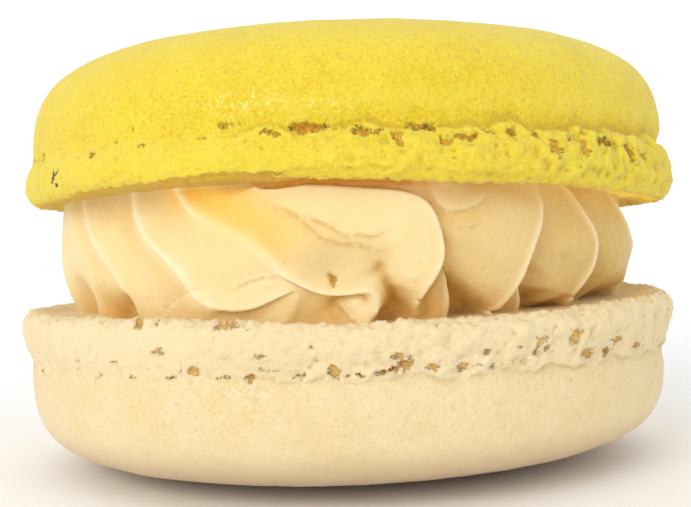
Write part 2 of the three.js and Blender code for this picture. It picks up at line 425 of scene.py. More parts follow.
# How far the middle of each base is sunk behind its rim: degrees from the front and millimetres
UPPER_SUNK = ((-180, 0.2), (16, 0.2), (26, 0.5), (150, 0.5), (180, 0.2))
LOWER_SUNK = ((-180, 0.3), (-90, 0.2), (-60, 0.2), (-42, 0.42), (150, 0.42), (180, 0.3))

# What sets each shell apart: the upper one's value and the lower one's. Lengths are in millimetres.
FORMS = {
    "flipped": (False, True),
    "seed": (3, 8),
    "shoulder": (-0.9, -0.7),  # how much fuller the dome is on one side, the left where negative
    "front_dip": (0, 0.55),  # how far the rim dips at the front
    "cut": (UPPER_CUT, LOWER_CUT),
    "cut_from": (16, 21.3),  # radius outside which the base is cut back
    "sunk": (UPPER_SUNK, LOWER_SUNK),
    "turned_under": ((-48, -9), None),  # degrees between which the rim is turned under
    "rough_left": (0.35, 0.6),  # roughness of the foot at the left and at the right
    "rough_right": (1.0, 1.0),
    "ledge": (0.36, 0.14),  # how far the dome stands back above the foot
    "lumps": (1.3, 0.8),  # heights of the foot's relief, from coarse to fine
    "ruffles": (0.32, 0.22),
    "crumbs": (0.22, 0.24),
    "ragged": (0.38, 0.8),  # height of the rim's relief
    "pores": (UPPER_PORES, LOWER_PORES),
    "openings": (0.6, 0.55),  # share of their depth that the openings get
    "grit_and_corner_shade": (0.44, 0.3),  # how much crumb shows at the rim, partly painted shade in its corner
    "depth": (0.12, 0.15),  # how much painted shade darkens the base further in
    "browned": (0.0, 1.0),  # how much painted shade darkens the part near the floor
    # How much crumb colour the base has, partly real crumb and partly painted shade in the recesses,
    # and how
    # strongly it gives off painted light: degrees from the front and share
    "stain": (
        (
            (-56, 0), (-44, 0.1), (-30, 0.3), (-14, 0.45), (-8, 1), (18, 1), (30, 0.2), (60, 0.1),
            (75, 0),
        ),
        (
            (-54, 0), (-44, 0.1), (-40, 0.1), (-26, 0.3), (-15, 0.4), (-11, 0.1), (-6, 0.5), (-1, 0.5),
            (2, 0), (5, 0.9), (10, 0.9), (13, 0.2), (17, 0.9), (25, 1), (28, 0.2), (32, 0.9), (42, 0.9),
            (46, 0.2), (66, 0.15), (74, 0),
        ),
    ),
    "glow": (
        ((-18, 0), (-9, 1), (17, 1), (28, 0.8), (50, 1.3), (80, 1.3), (95, 0)),
        ((0, 0), (1, 0)),
    ),
    # Spots on the skin: degrees, height above the ground, width and height
    "scuffs": (
        ((-14, 23.5, 2.4, 0.7), (-4, 23.2, 2.2, 0.35)),
        ((-13, 7.6, 3.6, 0.5), (20, 8.9, 5, 0.8), (-3, 7.9, 3.6, 0.3)),
    ),
    "smudges": (
        (
            (-51.9, 20.0, 0.16, 0.2), (-51.5, 20.25, 0.2, 0.2), (-50.9, 20.4, 0.2, 0.2),
            (-50.3, 20.55, 0.2, 0.18), (-49.8, 20.7, 0.16, 0.16), (-51.4, 20.6, 0.14, 0.3),
            (-50.4, 19.8, 0.35, 0.16),
        ),
        (),
    ),
}
# Further colours of each skin, and how strong its grain is
TONES = {
    "mottle": ("#EAD036", "#EBD5A7"),
    "pale": ("#ECD74D", "#EFDCB4"),
    "shade": ("#B8902B", "#BFA66C"),
    "speck": ("#C5A92A", "#CDAE79"),
    "scuff": ("#F6EDA6", "#F3E9D0"),
    "base": ("#EACB3E", "#ECD9A4"),
    "pore": ("#E0B03E", "#DCB468"),
    "grain": (1.0, 0.55),
}
UPPER_FORM, LOWER_FORM = ({name: pair[i] for name, pair in FORMS.items()} for i in (0, 1))
UPPER_TONES, LOWER_TONES = ({name: pair[i] for name, pair in TONES.items()} for i in (0, 1))
BASE_INSET = 0.95 * MM  # how far inside the foot the base ends
SEAM_INSET = 0.12 * MM  # how far inside the dome the seam lies
FOOT_STEPS = (0.03, 0.14, 0.28, 0.43, 0.58, 0.73, 0.87)  # rings of the foot, as shares of its height
DOME_RINGS = 8
RIM_REACH = 23.6  # radius at which widths on the foot are measured
FOOT_REACH = 24  # radius at which a dip is given
SHELL_SHIFT = 0.3 * MM  # how far the upper shell lies off the axis
SEAM_WAVES = ((19, 0.1), (31, 0.12), (53, 0.1), (97, 0.06))
UNDER_WAVES = ((19, 0.05), (53, 0.04), (127, 0.04), (211, 0.03))
# Seeded openings along the rest of the seam: degrees, height from it, width, height, depth
TORN_SPANS = ((62, 302), (-0.35, 0.15), (0.4, 1.9), (0.2, 0.55), (0.3, 0.9))
TORN_COUNT = 46
SPECK_COUNT = 150
PORE_LOBES = ((2, 0.2), (3, 0.17), (5, 0.13))  # waves of an opening's outline: how many, how high


def shell_rings(sizes):
    """Rings of a shell that stands on its base: across the base, up the foot and over the dome."""
    lean, edge = sizes.foot_lean, sizes.dome_radius - 0.1 * MM
    lies_on_dome = sizes.rest_radius > 0
    rings = [(r * MM, 0, lean) for r in (2, 12, 20)]
    rings.append((sizes.foot_radius - BASE_INSET, 0, lean))
    for t in FOOT_STEPS:
        belly = sin(pi * t ** (0.6 if lies_on_dome else 0.88))
        radius = edge + (sizes.foot_radius - edge) * belly
        rings.append((radius, t * sizes.foot_height, lean * (1 - t)))
    rings.append((sizes.dome_radius - SEAM_INSET, sizes.foot_height, 0))
    fullness = 5.8 if lies_on_dome else 4.45
    dome_height = sizes.height - sizes.dome_middle
    low = (sizes.foot_height + 0.5 * MM - sizes.dome_middle) / dome_height
    for i in range(DOME_RINGS):
        t = low + (1 - low) * sin(pi / 2 * i / DOME_RINGS) ** 0.9
        radius = sizes.dome_radius * (1 - t**fullness) ** (1 / 3)
        rings.append((radius, sizes.dome_middle + t * dome_height, sizes.dome_lean * t * 0.9))
    if lies_on_dome:
        rings.append((sizes.rest_radius, sizes.height, 0))
    rings.append((2 * MM, sizes.height, 0))
    return rings


def build_shell(name, sizes):
    """The smooth form of a shell, standing on its base."""
    piece = turn_rings(name, SHELL_COLUMNS, shell_rings(sizes))
    bpy.ops.object.mode_set(mode="OBJECT")
    apply_modifier(piece, "smooth form", "SUBSURF", levels=ROUNDS, render_levels=ROUNDS)
    bpy.ops.object.mode_set(mode="EDIT")
    close_ends()
    return piece


def sunk(degrees, radius, table):
    """How far a base is sunk behind its rim."""
    return look_up(degrees, table) * rise(radius, 23.1, 21.9)


def front_dip(turn, radius, depth):
    """How far a rim dips towards the front."""
    return depth * np.maximum(0, np.cos(turn) * radius / FOOT_REACH) ** 2


def clustered(pores, generator, reach):
    """Breaks each wide opening into a few that overlap, so that its outline is torn."""
    parts = []
    for at, up, wide, tall, deep in pores:
        long, short = max(wide, tall), min(wide, tall)
        count = 1 if long < 0.35 else 2 + int(long / 0.4)
        for share in np.linspace(-0.5, 0.5, count) if count > 1 else (0,):
            along = share * max(long - short * 0.8, 0)
            aside = generator.uniform(-0.22, 0.22) * short if count > 1 else 0
            across, upwards = (along, aside) if wide > tall else (aside, along)
            size = short * generator.uniform(0.65, 1.1)
            width = size * generator.uniform(0.8, 1.5)
            depth = deep * generator.uniform(0.7, 1)
            parts.append((at + np.degrees(across / reach), up + upwards, width, size, depth))
    return parts


def opening_depths(turn, height, pores, seed, reach):
    """Depth in mm of the ragged openings at each vertex, and how near it lies to an opening's
    middle: 1 there, 0.5 at its edge and 0 well outside."""
    total, nearness = np.zeros((2, len(turn)))
    generator = np.random.default_rng(seed)
    for at, up, wide, tall, deep in clustered(pores, generator, reach):
        phases = generator.random(3) * 2 * pi
        across = (np.angle(np.exp(1j * (turn - radians(at))))) * reach
        away = height - up
        near = (np.abs(across) < wide * 1.5) & (np.abs(away) < tall * 1.5)
        if not near.any():
            continue
        x, y = across[near] / (wide / 2), away[near] / (tall / 2)
        facing = np.arctan2(y, x)
        ragged = 1 + sum(h * np.sin(n * facing + p) for (n, h), p in zip(PORE_LOBES, phases))
        out = np.hypot(x, y) / ragged
        total[near] = np.maximum(total[near], deep * rise(out, 1.3, 0.4))
        shown = min(1, 0.62 + 0.6 * deep)
        nearness[near] = np.maximum(nearness[near], shown * np.clip(1 - out / 2, 0, 1))
    return total, nearness


def blotches(turn, height, spots):
    """Soft spots from 0 to 1, each (degrees, height above the ground, width, height in mm)."""
    total = np.zeros(len(turn))
    for at, up, wide, tall in spots:
        across = np.angle(np.exp(1j * (turn - radians(at)))) * RIM_REACH
        total = np.maximum(total, np.exp(-((across / wide) ** 2) - ((height - up) / tall) ** 2))
    return total


def shell_regions(piece, sizes, form, base_level):
    """Where each vertex of the smooth shell lies, and the regions it belongs to, from 0 to 1. The
    base's height above the ground is given in mm."""
    x, y, z = points_of(piece).T
    side = -1 if form["flipped"] else 1
    turn = np.arctan2(side * x, -y)
    degrees = np.degrees(turn)
    radius = np.hypot(x, y)
    above = z - x * tan(sizes.foot_lean)
    outside = rise(radius, 20.6, 22.4)
    seam = sizes.foot_height / MM + wander(turn, form["seed"], SEAM_WAVES)
    more = form["rough_right"] - form["rough_left"]
    return SimpleNamespace(
        side=side, turn=turn, degrees=degrees, radius=radius, z=z, above=above, outside=outside,
        seam=seam, base_level=base_level,
        ground=base_level + side * z,
        roughness=form["rough_left"] + more * rise(degrees, -30, 35) * rise(degrees, 175, 120),
        foot=outside * rise(z, seam + 0.15, seam - 0.25),
        dome=rise(z, seam - 0.1, seam + 0.5),
        rim=outside * rise(above, 0.75, 0.1),
    )


def press_form(piece, sizes, form, at):
    """The fuller shoulder, the sunk base, the dip and the cut of the rim, its turned-under edge and
    the ledge above the foot. Gives the region of the turned-under edge."""
    foot_height = sizes.foot_height / MM
    share = np.clip((at.z - foot_height) / (sizes.height / MM - foot_height), 0, 1)
    towards = np.maximum(0, np.sin(at.turn) * np.sign(form["shoulder"]))
    press(piece, "shoulder", -abs(form["shoulder"]) * towards * share**3 * (1 - share**8))
    hollow = sunk(at.degrees, at.radius, form["sunk"]) * rise(at.above, 0.6, 0.2)
    dip = front_dip(at.turn, at.radius, form["front_dip"])
    press(piece, "base", -(hollow + dip * rise(at.z, foot_height, 0)), "Z")
    rim = rise(at.radius, form["cut_from"], form["cut_from"] + 2) * rise(at.above, 1.8, 0)
    press(piece, "cut rim", -look_up(at.degrees, form["cut"]) * rim, "Z")

    turned_under = np.zeros(len(at.turn))
    if form["turned_under"]:
        low, high = form["turned_under"]
        edge = 0.3 + 0.55 * rise(at.degrees, low + 8, high - 8)
        edge += wander(at.turn, form["seed"] + 9, UNDER_WAVES)
        there = rise(at.degrees, low - 5, low + 3) * rise(at.degrees, high + 4, high - 4)
        turned_under = there * at.outside * rise(at.above, edge + 0.08, edge - 0.04)
        press(piece, "turned under", 0.4 * there * at.outside * rise(at.above, edge + 0.05, edge - 0.4))

    ledge = form["ledge"] * (0.35 + 0.65 * at.roughness)
    ledge = ledge * rise(at.degrees, -17, -8) * rise(at.degrees, 185, 150)
    behind = ledge * rise(at.z, at.seam - 0.06, at.seam + 0.06)
    press(piece, "ledge", behind * rise(at.z, at.seam + 1.6, at.seam + 0.3) * at.outside)
    return turned_under


def press_openings(piece, sizes, form, at):
    """The cracks and pores, with their slightly raised lips. Gives how near each vertex lies to
    one's middle."""
    seed, side = form["seed"], at.side
    foot_height = sizes.foot_height / MM
    pores, nearness = opening_depths(at.turn, at.ground, form["pores"], seed, RIM_REACH)
    small = [
        (degrees, at.base_level + side * foot_height + up, wide, tall, deep)
        for degrees, up, wide, tall, deep in draws(seed + 40, TORN_COUNT, TORN_SPANS)
    ]
    speck_spans = ((-180, 180), (0.3, foot_height - 0.2), (0.12, 0.34))
    for degrees, up, size in draws(seed + 50, SPECK_COUNT, speck_spans):
        small.append((degrees, at.base_level + side * up, size, size * 0.8, size * 0.8))
    specks, speck_nearness = opening_depths(at.turn, at.ground, small, seed + 1, RIM_REACH)
    press(piece, "openings", form["openings"] * np.maximum(pores, specks))
    press(piece, "raised lips", -0.09 * rise(nearness, 0.1, 0.35) * rise(nearness, 0.5, 0.38))
    return np.maximum(nearness, 0.86 * speck_nearness)


def roughen_shell(piece, sizes, form, at):
    """The lumps and crumbs of the foot, the ragged rim and the slightly uneven dome."""
    foot, rim, rest = at.foot, at.rim, sizes.rest_radius / MM
    ruffled = foot * rise(at.roughness, 0.5, 1) * rise(at.above, 0.2, 1.0)
    swelling = at.dome * rise(at.radius, rest, rest + 5)
    lumpy = foot * at.roughness * 0.9 * rise(at.above, 0, 0.9)
    crumbly = foot * (0.35 + 0.65 * at.roughness)
    for name, weights, kind, size, depth, direction in (
        ("lumps", lumpy, "CLOUDS", 1.1, form["lumps"], "NORMAL"),
        ("crumbs", crumbly, "CLOUDS", 0.42, form["crumbs"], "NORMAL"),
        ("ruffles", ruffled, "VORONOI", 0.9, form["ruffles"], "NORMAL"),
        ("chipped rim", rim, "CLOUDS", 1.3, 0.14, "Z"),
        ("ragged rim", rim, "CLOUDS", 0.4, form["ragged"], "Z"),
        ("ragged edge", rim, "CLOUDS", 0.5, 0.2, "NORMAL"),
        ("dome waves", swelling, "CLOUDS", 7, 0.24, "NORMAL"),
        ("dome skin", at.dome * 0.9, "CLOUDS", 1.1, 0.05, "NORMAL"),
    ):
        roughen(piece, name, weights, kind, size, depth, direction)


def dress_shell(piece, sizes, form, base_level):
    """Gives a smooth shell its uneven form and relief, and keeps what its material reads."""
    at = shell_regions(piece, sizes, form, base_level)
    turned_under = press_form(piece, sizes, form, at)
    pore = press_openings(piece, sizes, form, at)
    roughen_shell(piece, sizes, form, at)

    foot_radius = sizes.foot_radius / MM
    inner_base = rise(at.above, 0.08, 0.01) * rise(at.radius, foot_radius - 0.75, foot_radius - 1.15)
    # A thin line of crumb along the rim, partly painted shade in the corner where rim and base meet
    rim_crumb_and_shade = form["grit_and_corner_shade"] * rise(at.above, 0.24, 0.06) * at.outside
    keep_values(piece, {
        "pore": pore,
        "hollow": hollows(piece, 5),
        # Painted shade on the base further in, under the rim
        "depth_in": form["depth"] * rise(at.radius, 22.9, 20.9) * rise(at.above, 0.9, 0.4),
        "foot": at.foot,
        "underside": np.maximum(np.maximum(inner_base, rim_crumb_and_shade), 0.85 * turned_under),
        # Crumb colour by angle, partly real and partly painted shade in the recesses
        "stain": look_up(at.degrees, form["stain"]),
        # Painted light given off by the base in the gap above the cream
        "glow": inner_base * look_up(at.degrees, form["glow"]),
        # Painted shade near the floor
        "browned": form["browned"] * rise(at.ground, 4.4, 1.4),
        "scuff": blotches(at.turn, at.ground, form["scuffs"]),
        "smudge": blotches(at.turn, at.ground, form["smudges"]),
    })


def meringue(name, sizes, tones):
    """Baked almond meringue: a dry, matt skin of ground almond and sugar. It gives the eye a fine
    grain, soft mottling, small specks, and torn pores that show a browner crumb inside."""
    material, tree, shader, place = start_material(name)
    pale, speck, grain = tones["pale"], tones["speck"], tones["grain"]
    skin = lay(tree, sizes.skin, (
        # Uneven colour in patches of about 4 mm, flecks of about 0.7 mm and grain of about 0.2 mm
        (tones["mottle"], (place, 250, 3), 1, 0.38, 0.64),
        (pale, (place, 1400, 3), 0.4, 0.5, 0.66),
        (pale, (place, 4600, 3), 0.6 * grain, 0.5, 0.64),
        (speck, (place, 5200, 2), 0.5 * grain, 0.47, 0.34),
        (speck, (place, 2300, 2), 0.45, 0.68, 0.74),
        # Painted shade near the floor, paler on the foot, painted shade in hollows and painted
        # highlight on lumps
        ("#C4A27A", "browned"),
        (pale, "foot", 0.42),
        (tones["shade"], "hollow", 0.4, 0.006, 0.08),
        (pale, "hollow", 0.4, -0.006, -0.07),
    ))
    crumb = lay(tree, sizes.inside, ((sizes.deep, (place, 3000, 3), 1, 0.5, 0.75),))
    # The base: its own colour and crumb, painted shade further in, and crumb colour with painted shade
    # in the recesses
    base = lay(tree, tones["base"], (
        (sizes.inside, (place, 1800, 3), 0.4, 0.35, 0.65),
        (sizes.deep, "depth_in"),
        (crumb, "stain"),
    ))
    rubble = amount(tree, (place, 3800, 3))
    near = broken(tree, "pore", rubble, 0.34)
    pore = lay(tree, tones["pore"], ((crumb, near, 0.9, 0.78, 1.15),))
    pore_rim = amount(tree, near, amount(tree, near, 0.5, 0.77, 0.69), 0.63, 0.68)
    surface = lay(tree, skin, (
        (base, broken(tree, "underside", rubble, 0.4), 0.9, 0.62, 0.8),
        (pore, near, 1, 0.66, 0.75),
        # Painted shade: a thin dark line along the overhanging rim of each pore
        (sizes.dark, (place, 1500, 3), pore_rim, 0.5, 0.62),
        # Flakes scuffed off the skin, and a few dark scratches
        (tones["scuff"], (place, 4600, 3), amount(tree, "scuff", 0.6), 0.53, 0.63),
        ("#4C4228", broken(tree, "smudge", rubble, 0.5), 1, 0.6, 0.9),
    ))
    # The pores' edges, and dry sugar and almond grain of about 0.25 mm, a little coarser than real
    reliefs = (
        (0.9, 0.00018, amount(tree, near, -1.0, 0.66, 0.75)),
        (0.9 * grain, 0.00013, amount(tree, (place, 4200, 3))),
        (0.7 * grain, 0.0003, amount(tree, (place, 1300, 3))),
    )
    finish_shader(tree, shader, reliefs, {
        "Base Color": surface,
        # Painted light: the base in the gap above the cream gives off a little light of its own colour
        "Emission Strength": amount(tree, "glow", 0.42),
        "Emission Color": surface,
        "Roughness": 0.82,
        "IOR": 1.45,
        "Specular IOR Level": 0.2,
        "Sheen Weight": 0.2,
        "Sheen Roughness": 0.5,
        "Subsurface Weight": 0.1,
        "Subsurface Radius": (1.0, 0.7, 0.25),
        "Subsurface Scale": 0.0005,
    })
    return material


class MACARON_OT_shells(bpy.types.Operator):
    """Model both meringue shells and give them their finish"""

    bl_idname = "macaron.shells"
    bl_label = "Meringue shells"

    def execute(self, context):
        upper, lower = context.scene.macaron_upper, context.scene.macaron_lower
        upper_level = lower.height + context.scene.macaron_cream.gap
        raised = Matrix.Translation((SHELL_SHIFT, 0, upper_level))
        turned_over = Matrix.Translation((0, 0, lower.height)) @ Matrix.Rotation(pi, 4, "Y")
        top = build_shell("yellow_meringue_shell", upper)
        dress_shell(top, upper, UPPER_FORM, upper_level / MM)
        self.place(top, raised)
        yellow = meringue("dyed baked almond meringue", upper, UPPER_TONES)
        finish_piece(top, yellow, "top_shell")
        bottom = build_shell("plain_meringue_shell", lower)
        dress_shell(bottom, lower, LOWER_FORM, lower.height / MM)
        self.place(bottom, turned_over)
        plain = meringue("plain baked almond meringue", lower, LOWER_TONES)
        finish_piece(bottom, plain, "bottom_shell")
        return {"FINISHED"}

    @staticmethod
    def place(piece, matrix):
        """Moves a finished shell to its place and keeps that place in its mesh."""
        select_only(piece)
        piece.matrix_world = matrix
        bpy.ops.object.transform_apply(location=True, rotation=True, scale=True)


# ---- Buttercream ---------------------------------------------------------------------------------

# Ridges seen at the front, from the left. "path" is the line of the ridge's edge from the lower shell
# to the upper one, in degrees from the front and share of the height. "reach" is how far the edge
# stands from the axis at the stations, shares of the way along that line, and "left" and "right" how
# wide its flanks are there, in millimetres. "left_stations" puts the left flank's widths elsewhere.
# "lip" is how far the edge stands over its flanks, and "furrow" the reach of the furrow on its right
# at the furrow shares of the height. "bright" is how strong the painted highlight along the
# edge is at BRIGHT_STATIONS, "lee" on which side of it painted shade lies and how much, and
# "heel" how sharply the left flank falls away at the heel stations.
STATIONS = (0, 0.125, 0.31, 0.5, 0.69, 1)
FURROW_SHARES = (0, 0.3, 0.65, 1)
BRIGHT_STATIONS = (0, 0.45, 0.6, 1)
HEEL_STATIONS = (0, 0.3, 0.55)
PLAIN_RIDGE = {"bright": (0.3,) * 4, "heel": (2, 2, 2), "lee": (1, 0)}
FRONT_RIDGES = (
    {
        "path": (
            (-75, 0), (-74, 0.12), (-73.5, 0.25), (-73.5, 0.38), (-74.5, 0.5), (-76, 0.63), (-78, 0.75),
            (-80, 0.88), (-81.5, 1),
        ),
        "reach": (20.0, 20.7, 21.2, 21.4, 21.4, 20.9), "left": (0.9, 1.6, 2.6, 3.5, 4.5, 4.5),
        "right": (2.5, 3.2, 4.2, 4.5, 4.8, 4.5), "lip": 0.02, "furrow": (19.4, 20.4, 20.9, 20.7),
    },
    {
        "path": (
            (-57, 0), (-54.5, 0.12), (-54, 0.25), (-54, 0.38), (-55, 0.5), (-57.5, 0.63), (-60, 0.75),
            (-62.5, 0.88), (-63.5, 1),
        ),
        "reach": (19.9, 20.5, 21.0, 21.3, 21.5, 21.1), "left": (0.9, 1.6, 2.6, 3.5, 4.5, 4.5),
        "right": (1.6, 1.9, 2.1, 2.2, 2.4, 2.2), "lip": 0.18, "furrow": (19.1, 20.2, 20.5, 20.2),
    },
    {
        "path": (
            (-41.2, 0), (-41.5, 0.12), (-42.2, 0.24), (-44, 0.36), (-46.5, 0.48), (-49.5, 0.61),
            (-52.5, 0.75), (-55.2, 0.88), (-57.5, 1),
        ),
        "reach": (20.0, 20.6, 21.1, 21.3, 21.4, 20.8),
        "left_stations": (0, 0.2, 0.26, 0.34, 0.5, 0.69, 1),
        "left": (0.4, 0.5, 0.9, 2.6, 4.0, 4.8, 4.5), "right": (12.5, 11.0, 5.0, 2.4, 2.0, 1.9),
        "lip": 0.27, "bright": (0.3, 0.5, 0.7, 0.6), "lee": (-1, 0.3),
        "furrow": (20.5, 20.6, 20.5, 20.1),
    },
    {
        "path": (
            (-12, 0), (-10.3, 0.06), (-8.8, 0.18), (-8.7, 0.26), (-10.8, 0.22), (-15.7, 0.13),
            (-20.6, 0.125), (-24.8, 0.22), (-29.9, 0.46), (-33.7, 0.59), (-36.8, 0.71), (-39.2, 0.86),
            (-40, 1),
        ),
        "reach": (20.3, 20.9, 21.3, 21.4, 21.4, 20.7), "left": (0.55, 0.5, 0.45, 0.5, 4.2, 5.5),
        "right": (0.5, 0.55, 2.0, 2.8, 2.0, 1.6), "lip": 0.29, "bright": (0.2, 0.3, 0.8, 0.7),
        "lee": (-1, 0.4), "furrow": (20.0, 20.2, 20.3, 19.8),
    },
    {
        "path": (
            (3.2, 0), (3.9, 0.07), (4.1, 0.16), (2.7, 0.23), (-0.7, 0.215), (-4.7, 0.23), (-9.3, 0.33),
            (-12.4, 0.46), (-15.1, 0.57), (-19, 0.68), (-25.1, 0.81), (-27.8, 0.91), (-29.5, 1),
        ),
        "reach": (20.8, 21.2, 21.4, 21.4, 21.4, 20.8), "left": (2.4, 2.0, 0.5, 0.6, 4.5, 4.8),
        "right": (0.6, 0.7, 3.0, 3.2, 2.0, 1.7), "lip": 0.32, "bright": (0.2, 0.35, 1.0, 0.8),
        "lee": (1, 0.55), "furrow": (18.9, 19.5, 20.2, 19.9),
    },
    {
        "path": (
            (11, 0), (10.8, 0.12), (12.3, 0.25), (14.2, 0.41), (14.5, 0.55), (13.8, 0.71), (12, 0.87),
            (8.5, 0.935), (3, 0.95), (-5, 0.965),
        ),
        "reach": (19.2, 21.0, 21.6, 21.8, 21.9, 21.6),
        "left_stations": (0, 0.09, 0.12, 0.14, 0.165, 0.2, 0.5, 0.69, 1),
        "left": (0.3, 0.3, 0.6, 1.45, 3.2, 5, 8, 8.5, 6.5), "right": (0.9, 0.5, 0.45, 0.45, 0.45, 0.5),
        "lip": 0.02, "bright": (0.0, 0.3, 0.3, 0.3), "heel": (0.7, 1.0, 2.0),
        "furrow": (18.0, 19.1, 20.4, 20.8),
    },
    {
        "path": (
            (25.3, 0), (26.6, 0.1), (28, 0.2), (29.3, 0.31), (30.5, 0.46), (32, 0.6), (33.3, 0.74),
            (34.1, 0.87), (34, 1),
        ),
        "reach": (20.0, 20.8, 21.3, 21.6, 21.5, 20.6),
        "left_stations": (0, 0.014, 0.03, 0.06, 0.2, 0.5, 1), "left": (0.15, 0.3, 3.5, 5.5, 7, 8.5, 8),
        "right": (0.45, 0.45, 0.45, 0.45, 0.5, 0.8), "lip": 0.05, "heel": (0.6, 0.8, 2.0),
        "furrow": (17.9, 19.0, 20.0, 19.8),
    },
    {
        "path": (
            (44.5, 0), (43.9, 0.1), (45.6, 0.2), (47, 0.31), (47.6, 0.45), (47.3, 0.6), (45.8, 0.74),
            (44, 0.87), (41.5, 1),
        ),
        "reach": (19.8, 20.6, 21.1, 21.5, 21.4, 20.4),
        "left_stations": (0, 0.07, 0.11, 0.13, 0.15, 0.3, 0.5, 1),
        "left": (0.15, 0.5, 1.2, 3.4, 5.2, 7, 8, 6.5), "right": (0.45, 0.45, 0.45, 0.45, 0.5, 0.8),
        "lip": 0.05, "heel": (0.6, 0.8, 2.0), "furrow": (17.0, 18.6, 19.8, 19.4),
    },
    {
        "path": (
            (72, 0), (72, 0.12), (71, 0.25), (70, 0.38), (69, 0.5), (66, 0.62), (63.5, 0.75),
            (61.5, 0.88), (60, 1),
        ),
        "reach": (19.7, 20.5, 20.9, 21.4, 21.3, 20.3), "left": (0.6, 1.6, 4.5, 7.0, 7.0, 6.0),
        "right": (0.6, 0.6, 0.6, 0.6, 0.7, 0.9), "lip": 0.05, "heel": (0.6, 0.8, 2.0),
        "furrow": (17.0, 18.6, 19.8, 19.4),
    },
)
BACK_RIDGES = 9
BACK_RIDGE = {
    "reach": (19.9, 20.6, 21.1, 21.4, 21.3, 20.4), "left": (0.9, 1.4, 3.0, 5.5, 6.0, 5.0),
    "right": (0.6, 0.7, 0.8, 1.0, 1.1, 1.2), "lip": 0.08, "furrow": (16.2, 18.4, 19.9, 19.4),
}
# Low fins: two that stand back in the furrows beside the middle toes, two that fill the curls
LOW_FINS = (
    {
        "path": ((16.7, 0), (16.8, 0.14), (16.5, 0.28), (15.4, 0.5)),
        "reach": (19.6, 19.8, 20.0, 20.0, 20.0, 19.8),
    },
    {
        "path": ((32.3, 0), (32.1, 0.12), (31.6, 0.24), (30.9, 0.36)),
        "reach": (19.2, 19.4, 19.6, 19.6, 19.6, 19.2), "bright": (0.6, 0.6, 0.6, 0.6),
    },
    {
        "path": ((-11.4, 0), (-11.1, 0.06), (-10.7, 0.12), (-10.2, 0.17)),
        "reach": (20.5, 20.6, 20.7, 20.8, 20.8, 20.8), "left": (0.9, 0.9, 0.9, 0.9, 0.9, 0.9),
        "right": (0.9, 0.9, 0.9, 0.9, 0.9, 0.9),
    },
    {
        "path": ((2.2, 0), (2.0, 0.05), (1.7, 0.1), (1.2, 0.13)),
        "reach": (20.8, 20.9, 21.0, 21.0, 21.0, 21.0), "left": (1.5, 1.5, 1.5, 1.5, 1.5, 1.5),
        "right": (1.1, 1.1, 1.1, 1.1, 1.1, 1.1),
    },
)
LOW_FIN = {"left": (3.0,) * 6, "right": (0.35,) * 6, "lip": 0.0, "bright": (0.1,) * 4, "furrow": None}
# Folds in the cream: points of the crease, how far its upper side stands out, how soon that fades,
# how dark the painted shade along its line is and how dark the painted shade in the band below it
FOLDS = (
    (
        (
            (-15.9, 0.86), (-13.2, 0.84), (-10.6, 0.81), (-8.0, 0.77), (-6.6, 0.72), (-5.5, 0.68),
            (-4.2, 0.63), (-3.0, 0.61), (-1.3, 0.59), (0.5, 0.58), (2.0, 0.57), (3.8, 0.54),
            (5.4, 0.54), (6.6, 0.57),
        ),
        0.15, 2.4, 0.5, 0.5,
    ),
    (
        (
            (-8.0, 0.77), (-6.6, 0.76), (-5.2, 0.74), (-2.8, 0.7), (-1.4, 0.66), (-0.1, 0.64),
            (1.7, 0.65), (3.2, 0.63), (4.8, 0.65), (6.2, 0.67),
        ),
        0.08, 0.9, 0.5, 0.5,
    ),
    (
        (
            (11.9, 1.02), (12.9, 0.94), (13.9, 0.86), (15.5, 0.82), (17.3, 0.81), (19.2, 0.82),
            (21.6, 0.87), (23.7, 0.93),
        ),
        0.26, 1.5, 0.4, 0.6,
    ),
    (((15.9, 0.76), (17.3, 0.71), (18.9, 0.69), (20.4, 0.71)), 0.1, 0.8, 0.3, 0.2),
    (((-33.9, 0.1), (-31.8, 0.17), (-29.7, 0.22), (-26.5, 0.28), (-24, 0.3)), -0.22, 1.8, 0.5, 0.0),
    (((-19, 0.3), (-16.5, 0.34), (-13.8, 0.37), (-10.1, 0.38)), -0.14, 1.6, 0.45, 0.0),
    (((-2.6, 0.17), (-1.6, 0.12), (-0.7, 0.07), (0.6, -0.02)), 0.1, 0.6, 0.5, 0.4),
)
# Nicks: degrees, share of the height, width and height in mm, depth in mm
NICKS = (
    (-2.7, 0.36, 0.34, 0.46, 0.4), (-10.3, 0.46, 0.2, 0.2, 0.08), (-6.9, 0.33, 0.25, 0.15, 0.08),
    (32.1, 0.6, 0.3, 0.25, 0.15), (47.6, 0.36, 0.3, 0.3, 0.2), (65, 0.64, 0.3, 0.3, 0.15),
)
# Line along which yellow light reflected from the upper shell is painted between two ridges, as
# degrees and share of the height
PAINTED_BOUNCE_LINE = ((-30, 1.05), (-26, 0.98), (-20, 0.88), (-14.5, 0.76), (-9.5, 0.62), (-6.5, 0.52))
CREAM_REACH = 20.8  # radius at which widths on the cream are measured
ARC = CREAM_REACH * pi / 180  # millimetres along the cream for a degree
TALL = 6.8
DEEPEST = 18.5  # reach of a furrow that no ridge sets
FULL_REACH = 21.2  # from here out, the cream counts as a ridge
WARM_CREAM = "#F1D693"


def cream_ridges():
    """Every ridge, the back ones by rule, then the front ones and the low fins beside them."""
    first, last = FRONT_RIDGES[0]["path"][0][0], FRONT_RIDGES[-1]["path"][0][0]
    step = (360 - last + first) / (BACK_RIDGES + 1)
    shares = np.linspace(0, 1, 9)
    back = []
    for i, (shift, lean) in enumerate(draws(21, BACK_RIDGES, ((-1.5, 1.5), (6, 14)))):
        degrees = last + step * (i + 1) + shift - lean * shares**1.5 + 4 * np.sin(pi * shares)
        back.append({**BACK_RIDGE, "path": np.column_stack((degrees, shares))})
    fins = [{**LOW_FIN, **fin} for fin in LOW_FINS]
    return [{**PLAIN_RIDGE, **ridge} for ridge in (*back, *FRONT_RIDGES, *fins)]


